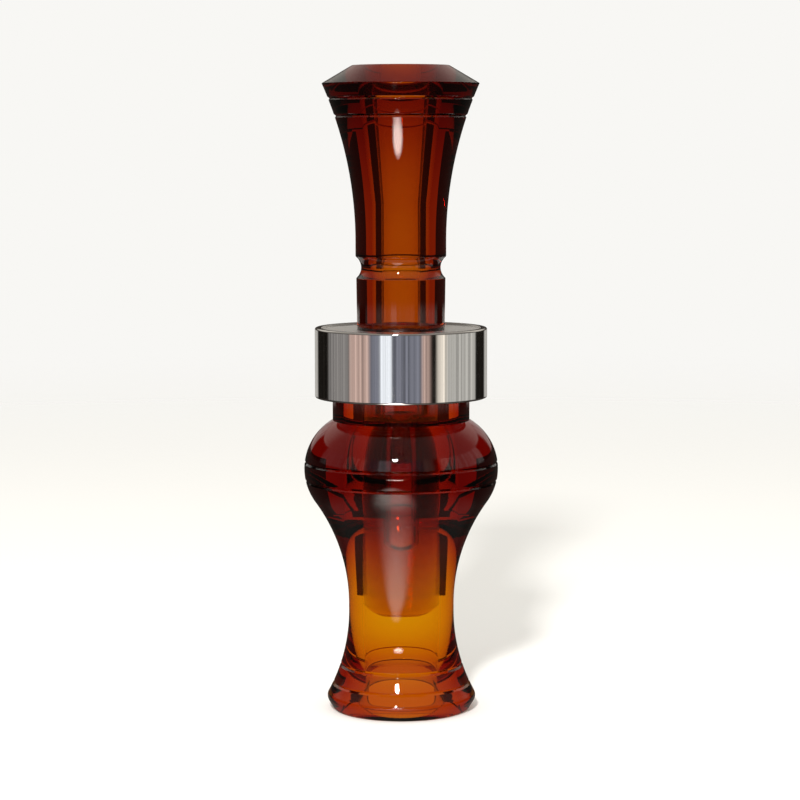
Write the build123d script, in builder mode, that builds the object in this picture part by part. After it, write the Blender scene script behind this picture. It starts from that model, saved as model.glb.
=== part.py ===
from build123d import *
import math
import os

# Duck call, millimetres. It stands on its mouthpiece end: Z is the call's axis, z = 0 is the base.
# The barrel is the lower piece and the insert the upper one. The tone board's flat faces +Y.

# --- Driving dimensions -------------------------------------------------------------------------
bore_radius = 15.875 / 2  # 5/8 inch bore right through the barrel
bell_radius = 10.5  # the bore opens to this at the mouthpiece end
bell_z = 4.8

# Barrel, from the base up
base_radius = 14.0
base_round = 1.0
rim_radius = 15.62
rim_z = 2.7
rim_round = 1.6
waist_radius = 10.86
waist_low_z = 20.5  # between these two heights the waist is a plain cylinder
waist_high_z = 21.9
bulb_radius = 20.0
bulb_z = 50.2
bulb_under_curve = 11.5
neck_radius = 14.1
neck_z = 60.32
barrel_end_z = 77.9
edge_round = 0.4

# Pairs of V cuts turned round the flares
v_depth = 0.32
v_half_width = 0.36
v_overrun = 3  # the cutter's triangle is this many times the cut's size
base_v_heights = (9.3, 5.5)
bulb_v_heights = (51.6, 47.75)
horn_v_heights = (126.15, 122.6)

# Band: a thick ring whose top closes in over the barrel's end
band_radius = 17.72
band_bottom_z = 65.0
band_top_z = 79.4
band_glue_gap = 0.02
band_recess_radius = 16.5
band_recess_depth = 0.5
band_lip_bore = 8.3

# Insert, from the tone board's tip up
stem_radius = 7.87
tip_z = 20.6
shoulder_z = band_top_z - band_recess_depth
sleeve_low_radius = 9.0
sleeve_high_radius = 9.15
lanyard_z = 91.7
lanyard_centre_radius = 11.0
lanyard_curve = 2.85
lanyard_edge_round = 0.3
horn_foot_z = 97.0
horn_foot_radius = 9.3
horn_rim_radius = 16.1
horn_rim_z = 129.2
horn_flat_radius = 9.9
horn_top_z = 132.85

# Air way through the insert
throat_radius = 7.94 / 2  # 5/16 inch drill
throat_bottom_z = 62.0
drill_half_angle = 59
flare_z = 105.0
mouth_radius = 6.1
mouth_round = 0.8
channel_radius = 2.6
channel_y = -1.5
channel_end_z = 37.8

# Tone board and the notch that holds the reeds
board_y = -1.0
board_flat_end_z = 44.0
board_tip_y = -3.6
notch_back_z = 60.0
notch_mouth_z = 51.0
notch_back_height = 2.3
notch_mouth_height = 4.6
stem_face_z = 53.5
tip_flat_half = 2.5  # the rest of the tip is one quarter round each side

# Reeds and wedge
reed_half_width = 6.5
reed_tip_round = 4.8
long_reed_thick = 0.35
short_reed_thick = 0.25
reed_gap = 0.03
long_reed_tip_z = 21.0
short_reed_tip_z = 23.6
dimple_radius = 3.2
dimple_height = 0.22
dimple_z = 40.0
wedge_half_width = 6.3
wedge_gap = 0.04
wedge_proud = 1.4

# O-rings, squeezed to an oval by the bore
ring_heights = (74.2, 68.2)
ring_groove_floor = 6.6
ring_groove_half = 1.05
ring_gap = 0.02

cut_overrun = 1.0  # how far each milling cut runs past the stem
rim_search = 0.1  # edges this near the rim's height are the rim

os.makedirs("parts", exist_ok=True)


# --- Shared shapes ------------------------------------------------------------------------------
def hollow_radius(z, foot_z, foot_radius, curve):
    """Radius at z of a hollow arc that stands upright at its foot."""
    return foot_radius + curve - math.sqrt(curve**2 - (z - foot_z) ** 2)


def arc_curve(foot_z, foot_radius, end_z, end_radius):
    """Radius of the arc that stands upright at its foot and reaches the end point."""
    rise, run = end_z - foot_z, end_radius - foot_radius
    return (rise**2 + run**2) / (2 * run)


def v_section(radius, z):
    """Triangle that cuts one V groove, opening outwards from the surface at radius."""
    slope_reach = v_half_width * v_overrun
    slope_depth = v_depth * (v_overrun - 1)
    Polyline(
        (radius - v_depth, z),
        (radius + slope_depth, z - slope_reach),
        (radius + slope_depth, z + slope_reach),
        close=True,
    )


def save(builder, label):
    builder.part.label = label
    export_step(builder.part, f"parts/{label}.step")


# --- Barrel: base flare, waist, bulb, neck and a plain bore with a bell mouth --------------------
bulb_rise, bulb_reach = bulb_z - waist_high_z, bulb_radius - waist_radius
waist_sweep = (bulb_rise**2 + bulb_reach**2) / (2 * bulb_reach) - bulb_under_curve
bulb_under_centre = bulb_radius - bulb_under_curve
sweep_centre = waist_radius + waist_sweep
lean = math.atan2(bulb_rise, sweep_centre - bulb_under_centre)
join_point = (
    bulb_under_centre + bulb_under_curve * math.cos(lean),
    bulb_z - bulb_under_curve * math.sin(lean),
)
base_curve = arc_curve(waist_low_z, waist_radius, rim_z, rim_radius)
bulb_v_radii = [
    bulb_under_centre + math.sqrt(bulb_under_curve**2 - (z - bulb_z) ** 2)
    for z in bulb_v_heights
]

with BuildPart() as barrel:
    with BuildSketch(Plane.XZ):
        with BuildLine():
            TangentArc((bore_radius, bell_z), (bell_radius, 0), tangent=(0, -1))
            Polyline((bell_radius, 0), (base_radius, 0), (rim_radius, rim_z))
            TangentArc((waist_radius, waist_low_z), (rim_radius, rim_z), tangent=(0, -1))
            Line((waist_radius, waist_low_z), (waist_radius, waist_high_z))
            TangentArc((waist_radius, waist_high_z), join_point, tangent=(0, 1))
            TangentArc((bulb_radius, bulb_z), join_point, tangent=(0, -1))
            TangentArc((bulb_radius, bulb_z), (neck_radius, neck_z), tangent=(0, 1))
            Polyline(
                (neck_radius, neck_z),
                (neck_radius, barrel_end_z),
                (bore_radius, barrel_end_z),
                (bore_radius, bell_z),
            )
        make_face()
    revolve(axis=Axis.Z)
    fillet(barrel.edges().filter_by_position(Axis.Z, rim_z - rim_search, rim_z + rim_search), radius=rim_round)
    base_edges = barrel.edges().filter_by(GeomType.CIRCLE).group_by(Axis.Z)[0].sort_by(SortBy.RADIUS)
    fillet(base_edges[-1], radius=base_round)
    fillet(base_edges[0], radius=edge_round)
    with BuildSketch(Plane.XZ):
        for z in base_v_heights:
            with BuildLine():
                v_section(hollow_radius(z, waist_low_z, waist_radius, base_curve), z)
            make_face()
        for z, radius in zip(bulb_v_heights, bulb_v_radii):
            with BuildLine():
                v_section(radius, z)
            make_face()
    revolve(axis=Axis.Z, mode=Mode.SUBTRACT)

save(barrel, "barrel")

# --- Band: polished ring, glued over the neck ----------------------------------------------------
with BuildPart() as band:
    with BuildSketch(Plane.XZ):
        with BuildLine():
            Polyline(
                (neck_radius + band_glue_gap, band_bottom_z),
                (band_radius, band_bottom_z),
                (band_radius, band_top_z),
                (band_recess_radius, band_top_z),
                (band_recess_radius, shoulder_z),
                (band_lip_bore, shoulder_z),
                (band_lip_bore, barrel_end_z),
                (neck_radius + band_glue_gap, barrel_end_z),
                close=True,
            )
        make_face()
    revolve(axis=Axis.Z)
    fillet(band.edges().filter_by(GeomType.CIRCLE).group_by(SortBy.RADIUS)[-1], radius=edge_round)

save(band, "band")

# --- Insert: horn, lanyard groove, sleeve, stem and tone board in one piece ----------------------
horn_curve = arc_curve(horn_foot_z, horn_foot_radius, horn_rim_z, horn_rim_radius)
sleeve_slope = (sleeve_high_radius - sleeve_low_radius) / (lanyard_z - shoulder_z)
drill_tip_z = throat_bottom_z - throat_radius / math.tan(math.radians(drill_half_angle))
notch_back_y = board_y + notch_back_height
notch_mouth_y = board_y + notch_mouth_height
corner_top_z = tip_z + stem_radius - tip_flat_half
clear_of_stem = stem_radius + cut_overrun
clear_of_tip_z = tip_z - cut_overrun

with BuildPart() as insert:
    with BuildSketch(Plane.XZ):
        with BuildLine():
            Polyline(
                (0, horn_top_z),
                (0, tip_z),
                (stem_radius, tip_z),
                (stem_radius, shoulder_z),
                (sleeve_low_radius, shoulder_z),
                (sleeve_high_radius, lanyard_z),
                (horn_foot_radius, lanyard_z),
                (horn_foot_radius, horn_foot_z),
            )
            TangentArc((horn_foot_radius, horn_foot_z), (horn_rim_radius, horn_rim_z), tangent=(0, 1))
            Polyline(
                (horn_rim_radius, horn_rim_z),
                (horn_flat_radius, horn_top_z),
                (0, horn_top_z),
            )
        make_face()
    revolve(axis=Axis.Z)
    horn_edges = insert.edges().filter_by(GeomType.CIRCLE).group_by(Axis.Z)
    fillet(horn_edges[-1], radius=2 * edge_round)

    # lanyard groove, its two edges rounded
    with BuildSketch(Plane.XZ):
        with Locations((lanyard_centre_radius, lanyard_z)):
            Circle(lanyard_curve)
    revolve(axis=Axis.Z, mode=Mode.SUBTRACT)
    groove_edges = insert.edges().filter_by(GeomType.CIRCLE).filter_by_position(
        Axis.Z, lanyard_z - lanyard_curve, lanyard_z + lanyard_curve
    )
    fillet(groove_edges, radius=lanyard_edge_round)

    # V cuts and O-ring grooves
    with BuildSketch(Plane.XZ):
        for z in horn_v_heights:
            with BuildLine():
                v_section(hollow_radius(z, horn_foot_z, horn_foot_radius, horn_curve), z)
            make_face()
        for z in ring_heights:
            with Locations(((ring_groove_floor + clear_of_stem) / 2, z)):
                Rectangle(clear_of_stem - ring_groove_floor, 2 * ring_groove_half)
    revolve(axis=Axis.Z, mode=Mode.SUBTRACT)

    # exhaust throat: straight from the drill's cone, then opening out to the mouth
    with BuildSketch(Plane.XZ):
        with BuildLine():
            Polyline(
                (0, drill_tip_z),
                (throat_radius, throat_bottom_z),
                (throat_radius, flare_z),
                (mouth_radius, horn_top_z),
                (0, horn_top_z),
                close=True,
            )
        make_face()
    revolve(axis=Axis.Z, mode=Mode.SUBTRACT)
    mouth_edge = insert.edges().filter_by(GeomType.CIRCLE).group_by(Axis.Z)[-1].sort_by(SortBy.RADIUS)[0]
    fillet(mouth_edge, radius=mouth_round)

    # tone channel, milled with a ball cutter along the board
    with BuildSketch(Plane.XY.offset(channel_end_z)):
        with Locations((0, channel_y)):
            Circle(channel_radius)
    extrude(amount=throat_bottom_z - channel_end_z, mode=Mode.SUBTRACT)
    with Locations((0, channel_y, channel_end_z)):
        Sphere(channel_radius, mode=Mode.SUBTRACT)

    # flat and curved board face, with the notch undercut for the reeds and wedge
    with BuildSketch(Plane.YZ):
        with BuildLine():
            TangentArc((board_y, board_flat_end_z), (board_tip_y, tip_z), tangent=(0, -1))
            Polyline(
                (board_y, board_flat_end_z),
                (board_y, notch_back_z),
                (notch_back_y, notch_back_z),
                (notch_mouth_y, notch_mouth_z),
                (clear_of_stem, stem_face_z),
                (clear_of_stem, clear_of_tip_z),
                (board_tip_y, clear_of_tip_z),
                (board_tip_y, tip_z),
            )
        make_face()
    extrude(amount=clear_of_stem, both=True, mode=Mode.SUBTRACT)

    # rounded tip corners
    with BuildSketch(Plane.XZ):
        with BuildLine():
            TangentArc((tip_flat_half, tip_z), (stem_radius, corner_top_z), tangent=(1, 0))
            Polyline(
                (stem_radius, corner_top_z),
                (clear_of_stem, corner_top_z),
                (clear_of_stem, clear_of_tip_z),
                (tip_flat_half, clear_of_tip_z),
                (tip_flat_half, tip_z),
            )
        make_face()
        mirror(about=Plane.YZ)
    extrude(amount=clear_of_stem, both=True, mode=Mode.SUBTRACT)

save(insert, "insert")

# --- O-rings in the stem's two grooves -----------------------------------------------------------
ring_half_height = ring_groove_half - 2 * ring_gap
ring_inner = ring_groove_floor + ring_gap
ring_outer = bore_radius - ring_gap

for label, z in zip(("o_ring_upper", "o_ring_lower"), ring_heights):
    with BuildPart() as o_ring:
        with BuildSketch(Plane.XZ):
            with Locations(((ring_inner + ring_outer) / 2, z)):
                Ellipse((ring_outer - ring_inner) / 2, ring_half_height)
        revolve(axis=Axis.Z)
    save(o_ring, label)

# --- Reeds: two flat strips, clamped under the wedge, free beyond it ------------------------------
long_reed_y = board_y + long_reed_thick
short_reed_y = long_reed_y + reed_gap + short_reed_thick


def reed_outline(reed_tip_z):
    length = notch_back_z - reed_gap - reed_tip_z
    with Locations((0, reed_tip_z + length / 2)):
        strip = Rectangle(2 * reed_half_width, length)
    fillet(strip.vertices().group_by(Axis.Y)[0], radius=reed_tip_round)


with BuildPart() as reed_long:
    with BuildSketch(Plane.XZ.offset(-long_reed_y)):
        reed_outline(long_reed_tip_z)
    extrude(amount=long_reed_thick)

save(reed_long, "reed_long")

# pressed dimple that keeps the two strips apart: the cap of a sphere
dimple_ball = Pos(0, short_reed_y + dimple_height - dimple_radius, dimple_z) * Sphere(dimple_radius)
dimple_room = Pos(0, short_reed_y, dimple_z) * Box(
    2 * dimple_radius, 2 * dimple_height, 2 * dimple_radius
)

with BuildPart() as reed_short:
    with BuildSketch(Plane.XZ.offset(-short_reed_y)):
        reed_outline(short_reed_tip_z)
    extrude(amount=short_reed_thick)
    add(dimple_ball & dimple_room)

save(reed_short, "reed_short")

# --- Wedge: cork, driven in over the reeds --------------------------------------------------------
ceiling_slope = (notch_mouth_y - notch_back_y) / (notch_back_z - notch_mouth_z)
wedge_floor = short_reed_y + wedge_gap
wedge_back_z = notch_back_z - 2 * wedge_gap
wedge_front_z = notch_mouth_z - wedge_proud
wedge_back_top = notch_back_y - 2 * wedge_gap
wedge_front_top = wedge_back_top + ceiling_slope * (wedge_back_z - wedge_front_z)

with BuildPart() as wedge:
    with BuildSketch(Plane.YZ):
        with BuildLine():
            Polyline(
                (wedge_floor, wedge_back_z),
                (wedge_back_top, wedge_back_z),
                (wedge_front_top, wedge_front_z),
                (wedge_floor, wedge_front_z),
                close=True,
            )
        make_face()
    extrude(amount=wedge_half_width, both=True)

save(wedge, "wedge")
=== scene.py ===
import math

import bmesh
import bpy
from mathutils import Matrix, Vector, noise


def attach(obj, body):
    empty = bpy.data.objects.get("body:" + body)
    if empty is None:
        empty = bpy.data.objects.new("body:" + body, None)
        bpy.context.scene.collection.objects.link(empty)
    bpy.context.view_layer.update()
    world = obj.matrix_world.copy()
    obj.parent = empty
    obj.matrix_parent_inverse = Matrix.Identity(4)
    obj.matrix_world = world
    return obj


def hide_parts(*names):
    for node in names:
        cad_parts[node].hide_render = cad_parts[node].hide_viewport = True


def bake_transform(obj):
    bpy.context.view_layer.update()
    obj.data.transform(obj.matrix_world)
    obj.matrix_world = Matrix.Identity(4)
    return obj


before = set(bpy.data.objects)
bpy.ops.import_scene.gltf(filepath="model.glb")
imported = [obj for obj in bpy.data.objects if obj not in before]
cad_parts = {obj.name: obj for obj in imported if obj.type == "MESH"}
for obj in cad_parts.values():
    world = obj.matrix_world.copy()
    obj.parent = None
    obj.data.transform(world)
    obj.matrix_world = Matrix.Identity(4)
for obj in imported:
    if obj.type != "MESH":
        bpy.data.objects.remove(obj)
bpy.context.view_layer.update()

# Turned acrylic duck call. Lengths in the settings are millimetres; the scene is in metres.
mm = 0.001
scene = bpy.context.scene
print("frame loaded:", ", ".join(sorted(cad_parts)))


# small tools
def hexColour(code):
    channels = [int(code[i:i + 2], 16) / 255 for i in (1, 3, 5)]
    return [c / 12.92 if c <= 0.04045 else ((c + 0.055) / 1.055) ** 2.4 for c in channels] + [1.0]


def addNode(tree, kind, settings=None, inputs=None):
    # inputs are sockets to link from, or plain values
    node = tree.nodes.new(kind)
    for key, value in (settings or {}).items():
        setattr(node, key, value)
    for key, value in (inputs or {}).items():
        if isinstance(value, bpy.types.NodeSocket):
            tree.links.new(value, node.inputs[key])
        else:
            node.inputs[key].default_value = value
    return node


def emptyTree(owner):
    owner.use_nodes = True
    owner.node_tree.nodes.clear()
    return owner.node_tree


def addObject(name, data):
    made = bpy.data.objects.new(name, data)
    scene.collection.objects.link(made)
    return made


def pointOn(angle, height, distance):
    # angle in degrees round the call, 0 at the camera's side and positive to the right
    turn = math.radians(angle)
    return Vector((distance * math.sin(turn), -distance * math.cos(turn), height))


# a long lens, a little above the call and looking slightly down
cameraSettings = {
    "lens": 117.0,
    "sensor": 36.0,
    "distance": 536.0,
    "aimHeight": 64.35,
    "aside": -0.14,
    "pitch": 5.82,
    "roll": 0.08,
}
bounces = {"max": 24, "transmission": 24, "glossy": 10, "diffuse": 3}


def makeCamera(s):
    camera = addObject("camera", bpy.data.cameras.new("camera"))
    camera.data.lens = s["lens"]
    camera.data.sensor_width = s["sensor"]
    pitch = math.radians(s["pitch"])
    back, rise = math.cos(pitch) * s["distance"], math.sin(pitch) * s["distance"]
    camera.location = Vector((s["aside"], -back, s["aimHeight"] + rise)) * mm
    camera.rotation_euler = (math.radians(90) - pitch, math.radians(s["roll"]), 0)
    scene.camera = camera


makeCamera(cameraSettings)
scene.view_settings.view_transform = "Standard"
for bounceKind, most in bounces.items():
    setattr(scene.cycles, bounceKind + "_bounces", most)
scene.cycles.sample_clamp_indirect = 5  # keeps stray sparkles down
print("camera placed")

# Studio: pale surround, pale floor, one lamp, and a ring of soft shades for the gloss to pick up
studioSettings = {
    "surround": "#F8F7F4",
    "surroundStrength": 1.0,
    "roomDark": "#38332F",  # what gloss sees of the room, low down
    "roomCeiling": "#88827C",  # and overhead
    "ceilingRise": (0.12, 0.45),  # from and to: the slope of the line of sight, 0 level and 1 upright
    "roomBack": "#C6BFB6",  # and of the wall behind the call, above the table
    "backSide": (0.3, 0.65),
    "backFoot": (0.12, 0.35),
    "backTop": (0.86, 0.55),
    "floor": "#EFEDE8",
    "floorClear": (160, 900),  # the floor melts into the surround between these distances
    "floorSize": 2400,
    "floorDrop": 0.02,  # clear of the call's flat foot
    "lampAngle": -8,
    "lampHeight": 30,
    "lampDistance": 800,
    "lampSize": (64, 100),
    "lampPower": 7.0,
    "flagDistance": 620,
}

# A ring of shades close round the band, for its polish to pick up. Each angle is the way the mirrored
# line of sight leaves the band, 0 towards the camera and positive to the right.
ringSettings = {
    "radius": 60, "bottom": 56, "top": 84,
    "mirrorRadius": 17.72,  # the band's own
    "fadeIn": (57, 60), "fadeOut": (77.5, 81), "strength": 1.05,
    "lines": (70, 0.4),  # fine upright lines: how many round the ring, and how strong
    "strips": [  # from, to, shade: an ordinary room's doorways, walls, curtains and one window
        (-180, -150, "plaster"), (-145, -115, "doorway"), (-110, -75, "wall"), (-70, -45, "curtain"),
        (-40, -30, "dusk"), (-25, -15, "window"), (-10, 25, "dusk"), (30, 35, "curtain"),
        (42, 47, "doorway"), (50, 60, "blind"), (65, 115, "plaster"), (120, 145, "doorway"),
        (150, 180, "plaster"),
    ],
    "shades": {
        "plaster": "#B0ADA8", "wall": "#84807E", "doorway": "#1A1714", "curtain": "#BCA096",
        "dusk": "#73747F", "window": "#F4F8FF", "blind": "#E4DACD",
    },
}

# shades seen only through the acrylic, which give its depth the dark lines
flags = [
    {"name": "leftFlag", "angle": -122, "width": 43, "bottom": -20, "top": 420, "colour": "#4A4038"},
    {"name": "rightFlag", "angle": 122, "width": 43, "bottom": -20, "top": 420, "colour": "#4A4038"},
]

# soft ovals of light seen only in gloss: the table near the call, a brighter patch of it in front,
# and a small shelf above the table; and, seen only through the acrylic, a painted pool of amber light on the
# table below, standing in for the light the acrylic lets through onto it
glows = [
    {"name": "nearTable", "middle": (0, -20), "height": 0.0, "half": (100, 100), "turn": 0, "core": 0.4,
     "colour": "#F4ECE2", "strength": 0.18, "gloss": True},
    {"name": "tableGlow", "middle": (-15, -80), "height": 0.3, "half": (34, 70), "turn": -12, "core": 0.35,
     "colour": "#FFF4EA", "strength": 3.4, "gloss": True},
    {"name": "shelfGlow", "middle": (-16, -151), "height": 36.0, "half": (32, 30), "turn": -6, "core": 0.4,
     "colour": "#FFF4EA", "strength": 17.0, "gloss": True},
    # painted light: a glowing amber pool on the table under the call, in place of light let through the acrylic
    {"name": "paintedAmberTableLight", "middle": (0, 0), "height": -0.05, "half": (15.5, 15.5), "turn": 0, "core": 0.85,
     "colour": "#DD9E59", "strength": 1.0, "gloss": False},
]


def emission(name, colour, strength):
    material = bpy.data.materials.new(name)
    tree = emptyTree(material)
    glow = addNode(tree, "ShaderNodeEmission", inputs={"Color": hexColour(colour), "Strength": strength})
    addNode(tree, "ShaderNodeOutputMaterial", inputs={"Surface": glow.outputs[0]})
    material.cycles.emission_sampling = "NONE"
    return material


def makeStudioObject(name, corners, faces, material):
    mesh = bpy.data.meshes.new(name)
    mesh.from_pydata([p * mm for p in corners], [], faces)
    mesh.materials.append(material)
    made = addObject(name, mesh)
    return made


def hideCard(card, glossy=True):
    # seen either by the gloss alone or through the acrylic alone
    card.visible_camera = False
    card.visible_diffuse = False
    card.visible_shadow = False
    card.visible_glossy = glossy
    card.visible_transmission = not glossy


def makeSurround(s):
    world = bpy.data.worlds.new("surround")
    scene.world = world
    tree = emptyTree(world)
    pale = addNode(tree, "ShaderNodeBackground",
                   inputs={"Color": hexColour(s["surround"]), "Strength": s["surroundStrength"]})
    # gloss sees a dim room with a soft ceiling and a pale wall behind the call
    direction = addNode(tree, "ShaderNodeTexCoord")
    axes = addNode(tree, "ShaderNodeSeparateXYZ", inputs={0: direction.outputs["Generated"]})

    def rise(axis, span):
        return addNode(tree, "ShaderNodeMapRange", {"interpolation_type": "SMOOTHSTEP"}, {
            "Value": axes.outputs[axis], "From Min": span[0], "From Max": span[1]}).outputs[0]

    room = addNode(tree, "ShaderNodeMix", {"data_type": "RGBA"}, {
        "Factor": rise("Z", s["ceilingRise"]), "A": hexColour(s["roomDark"]), "B": hexColour(s["roomCeiling"])})
    back = addNode(tree, "ShaderNodeMath", {"operation": "MULTIPLY"}, {
        0: rise("Y", s["backSide"]), 1: rise("Z", s["backFoot"])})
    back = addNode(tree, "ShaderNodeMath", {"operation": "MULTIPLY"}, {
        0: back.outputs[0], 1: rise("Z", s["backTop"])})
    wall = addNode(tree, "ShaderNodeMix", {"data_type": "RGBA"}, {
        "Factor": back.outputs[0], "A": room.outputs["Result"], "B": hexColour(s["roomBack"])})
    dim = addNode(tree, "ShaderNodeBackground", inputs={"Color": wall.outputs["Result"]})
    # rays let through count as glossy too, so they are taken off
    path = addNode(tree, "ShaderNodeLightPath")
    mirrored = addNode(tree, "ShaderNodeMath", {"operation": "SUBTRACT", "use_clamp": True}, {
        0: path.outputs["Is Glossy Ray"], 1: path.outputs["Is Transmission Ray"]})
    mix = addNode(tree, "ShaderNodeMixShader", inputs={
        0: mirrored.outputs[0], 1: pale.outputs[0], 2: dim.outputs[0]})
    addNode(tree, "ShaderNodeOutputWorld", inputs={"Surface": mix.outputs[0]})


def makeFloor(s):
    material = bpy.data.materials.new("floorPaper")
    tree = emptyTree(material)
    coords = addNode(tree, "ShaderNodeTexCoord")
    distance = addNode(tree, "ShaderNodeVectorMath", {"operation": "LENGTH"}, {0: coords.outputs["Object"]})
    fade = addNode(tree, "ShaderNodeMapRange", {"interpolation_type": "SMOOTHSTEP"},
                   {"Value": distance.outputs["Value"], "From Min": s["floorClear"][0] * mm,
                    "From Max": s["floorClear"][1] * mm})
    paper = addNode(tree, "ShaderNodeBsdfDiffuse", inputs={"Color": hexColour(s["floor"])})
    clear = addNode(tree, "ShaderNodeBsdfTransparent")
    mix = addNode(tree, "ShaderNodeMixShader",
                  inputs={0: fade.outputs[0], 1: paper.outputs[0], 2: clear.outputs[0]})
    addNode(tree, "ShaderNodeOutputMaterial", inputs={"Surface": mix.outputs[0]})
    half = s["floorSize"] / 2
    sides = ((-half, -half), (half, -half), (half, half), (-half, half))
    corners = [Vector((x, y, -s["floorDrop"])) for x, y in sides]
    floor = makeStudioObject("floor", corners, [(0, 1, 2, 3)], material)
    floor.visible_glossy = False
    floor.visible_transmission = False


def makeLamp(s):
    lamp = addObject("lamp", bpy.data.lights.new("lamp", "AREA"))
    lamp.data.shape = "RECTANGLE"
    lamp.data.size, lamp.data.size_y = (side * mm for side in s["lampSize"])
    lamp.data.energy = s["lampPower"]
    rise = math.radians(s["lampHeight"])
    aim = Vector((0, 0, cameraSettings["aimHeight"]))
    place = pointOn(s["lampAngle"], 0, s["lampDistance"] * math.cos(rise))
    place.z = aim.z + s["lampDistance"] * math.sin(rise)
    lamp.location = place * mm
    lamp.rotation_mode = "QUATERNION"
    lamp.rotation_quaternion = (place - aim).to_track_quat("Z", "Y")


def makeFlag(s, distance, steps=6):
    corners, faces = [], []
    for i in range(steps + 1):
        angle = s["angle"] + s["width"] * (i / steps - 0.5)
        corners += [pointOn(angle, s["bottom"], distance), pointOn(angle, s["top"], distance)]
    for i in range(0, 2 * steps, 2):
        faces.append((i, i + 2, i + 3, i + 1))
    flag = makeStudioObject(s["name"], corners, faces, emission(s["name"], s["colour"], 1.0))
    hideCard(flag, glossy=False)


def makeRing(s, steps=180):
    corners, faces = [], []
    for i in range(steps):
        corners += [pointOn(360 * i / steps, height, s["radius"]) for height in (s["bottom"], s["top"])]
        low, high = 2 * i, 2 * ((i + 1) % steps)
        faces.append((low, high, high + 1, low + 1))
    material = bpy.data.materials.new("ringShades")
    tree = emptyTree(material)
    coords = addNode(tree, "ShaderNodeTexCoord")
    turned = addNode(tree, "ShaderNodeMapping", inputs={
        "Vector": coords.outputs["Object"], "Rotation": (0, 0, math.radians(90))})
    angle = addNode(tree, "ShaderNodeTexGradient", {"gradient_type": "RADIAL"}, {0: turned.outputs[0]})
    ramp = addNode(tree, "ShaderNodeValToRGB", inputs={0: angle.outputs["Fac"]})
    edges = [(degrees, name) for start, end, name in s["strips"] for degrees in (start, end)]
    for i, (degrees, name) in enumerate(edges):
        # where that line of sight meets the ring
        lag = math.asin(s["mirrorRadius"] / s["radius"] * math.sin(math.radians(degrees / 2)))
        place = (degrees - math.degrees(lag)) / 360 + 0.5
        stop = ramp.color_ramp.elements[i] if i < 2 else ramp.color_ramp.elements.new(place)
        stop.position, stop.color = place, hexColour(s["shades"][name])
    axes = addNode(tree, "ShaderNodeSeparateXYZ", inputs={0: coords.outputs["Object"]})
    fades = [addNode(tree, "ShaderNodeMapRange", {"interpolation_type": "SMOOTHSTEP"}, {
        "Value": axes.outputs["Z"], "From Min": s[key][0] * mm, "From Max": s[key][1] * mm}).outputs[0]
        for key in ("fadeIn", "fadeOut")]
    shown = addNode(tree, "ShaderNodeMath", {"operation": "SUBTRACT", "use_clamp": True}, {
        0: fades[0], 1: fades[1]})
    count, depth = s["lines"]
    lines = addNode(tree, "ShaderNodeTexNoise", {"noise_dimensions": "1D"}, {
        "W": angle.outputs["Fac"], "Scale": count, "Detail": 6, "Roughness": 0.7})
    strength = addNode(tree, "ShaderNodeMapRange", inputs={
        "Value": lines.outputs["Fac"], "From Min": 0.35, "From Max": 0.65,
        "To Min": s["strength"] * (1 - depth), "To Max": s["strength"] * (1 + depth)})
    glow = addNode(tree, "ShaderNodeEmission", inputs={
        "Color": ramp.outputs[0], "Strength": strength.outputs[0]})
    clear = addNode(tree, "ShaderNodeBsdfTransparent")
    mix = addNode(tree, "ShaderNodeMixShader", inputs={
        0: shown.outputs[0], 1: clear.outputs[0], 2: glow.outputs[0]})
    addNode(tree, "ShaderNodeOutputMaterial", inputs={"Surface": mix.outputs[0]})
    material.cycles.emission_sampling = "NONE"
    hideCard(makeStudioObject("ring", corners, faces, material))


def makeGlow(s):
    # an oval of light with soft edges
    (x, y), (halfX, halfY) = s["middle"], s["half"]
    material = bpy.data.materials.new(s["name"])
    tree = emptyTree(material)
    coords = addNode(tree, "ShaderNodeTexCoord")
    centred = addNode(tree, "ShaderNodeMapping", {"vector_type": "TEXTURE"}, {
        "Vector": coords.outputs["Object"], "Location": Vector((x, y, s["height"])) * mm,
        "Rotation": (0, 0, math.radians(s["turn"])), "Scale": (halfX * mm, halfY * mm, 1)})
    away = addNode(tree, "ShaderNodeVectorMath", {"operation": "LENGTH"}, {0: centred.outputs[0]})
    fade = addNode(tree, "ShaderNodeMapRange", {"interpolation_type": "SMOOTHSTEP"},
                   {"Value": away.outputs["Value"], "From Min": s["core"], "From Max": 1.0})
    glow = addNode(tree, "ShaderNodeEmission", inputs={
        "Color": hexColour(s["colour"]), "Strength": s["strength"]})
    clear = addNode(tree, "ShaderNodeBsdfTransparent")
    mix = addNode(tree, "ShaderNodeMixShader", inputs={
        0: fade.outputs[0], 1: glow.outputs[0], 2: clear.outputs[0]})
    addNode(tree, "ShaderNodeOutputMaterial", inputs={"Surface": mix.outputs[0]})
    material.cycles.emission_sampling = "NONE"
    reach = 1.2 * max(halfX, halfY)  # the sheet is wider than the oval, however that is turned
    sides = ((-1, -1), (1, -1), (1, 1), (-1, 1))
    corners = [Vector((x + i * reach, y + k * reach, s["height"])) for i, k in sides]
    hideCard(makeStudioObject(s["name"], corners, [(0, 1, 2, 3)], material), s["gloss"])


makeSurround(studioSettings)
makeFloor(studioSettings)
makeLamp(studioSettings)
makeRing(ringSettings)
for flag in flags:
    makeFlag(flag, studioSettings["flagDistance"])
for glow in glows:
    makeGlow(glow)
print("studio lit with", len(ringSettings["strips"]), "strips round it")

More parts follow.
